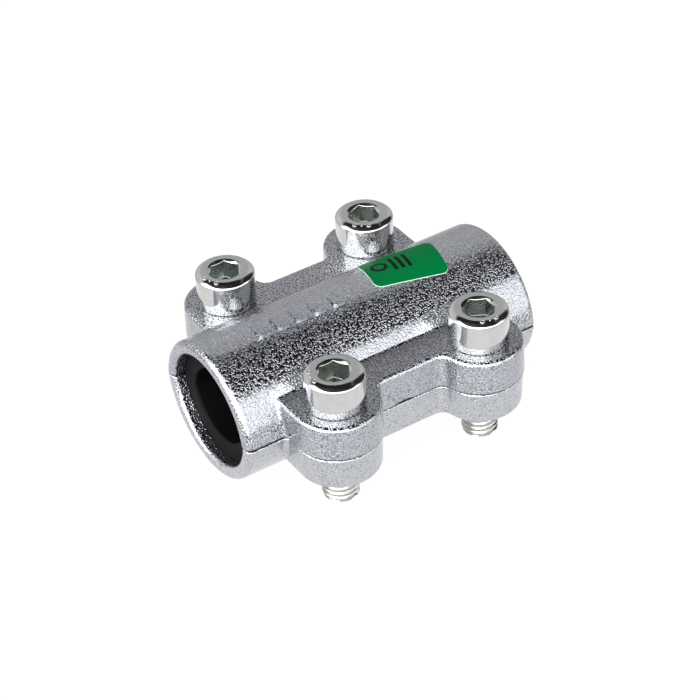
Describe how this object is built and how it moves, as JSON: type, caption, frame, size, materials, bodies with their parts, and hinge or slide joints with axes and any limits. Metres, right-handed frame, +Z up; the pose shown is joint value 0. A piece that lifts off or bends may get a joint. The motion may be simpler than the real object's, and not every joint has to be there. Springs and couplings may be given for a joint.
{
  "type": "pipe coupling clamp",
  "caption": "Two-part cast pipe coupling with a rubber sealing sleeve, drawn together by cap screws through ears on both sides.",
  "frame": {"origin": "middle of the pipe bore, half way up the parting gap between the two castings", "axes": "+X along the pipe, +Y across it, +Z up along the screws towards their heads"},
  "size_m": [0.0738, 0.0628, 0.033],
  "materials": {
    "casting": "rough sand-cast skin, bright zinc plated",
    "sleeve": "matt black moulded rubber",
    "label": "glossy green printed film",
    "screw": "smooth bright zinc plated steel"
  },
  "bodies": {
    "lower_half": {"lower_casting": "casting", "seal_sleeve": "sleeve"},
    "upper_half": {"upper_casting": "casting", "size_label": "label"},
    "screw_front_left_body": {"screw_front_left": "screw"},
    "screw_front_right_body": {"screw_front_right": "screw"},
    "screw_back_left_body": {"screw_back_left": "screw"},
    "screw_back_right_body": {"screw_back_right": "screw"}
  },
  "joints": [
    {"name": "upper_half_lift", "type": "slide", "parent": "lower_half", "child": "upper_half", "axis": [0, 0, 1], "range_m": [0, 0.01625]},
    {"name": "screw_front_left_turn", "type": "hinge", "parent": "upper_half", "child": "screw_front_left_body", "pos_m": [-0.01805, -0.02175, 0.0082], "axis": [0, 0, 1], "range_deg": [0, 4680]},
    {"name": "screw_front_right_turn", "type": "hinge", "parent": "upper_half", "child": "screw_front_right_body", "pos_m": [0.01805, -0.02175, 0.0082], "axis": [0, 0, 1], "range_deg": [0, 4680]},
    {"name": "screw_back_left_turn", "type": "hinge", "parent": "upper_half", "child": "screw_back_left_body", "pos_m": [-0.01805, 0.02175, 0.0082], "axis": [0, 0, 1], "range_deg": [0, 4680]},
    {"name": "screw_back_right_turn", "type": "hinge", "parent": "upper_half", "child": "screw_back_right_body", "pos_m": [0.01805, 0.02175, 0.0082], "axis": [0, 0, 1], "range_deg": [0, 4680]}
  ],
  "couplings": [
    {"joint": "screw_front_left_turn", "follows": "upper_half_lift", "rad_per_m": 5026.5},
    {"joint": "screw_front_right_turn", "follows": "upper_half_lift", "rad_per_m": 5026.5},
    {"joint": "screw_back_left_turn", "follows": "upper_half_lift", "rad_per_m": 5026.5},
    {"joint": "screw_back_right_turn", "follows": "upper_half_lift", "rad_per_m": 5026.5}
  ]
}
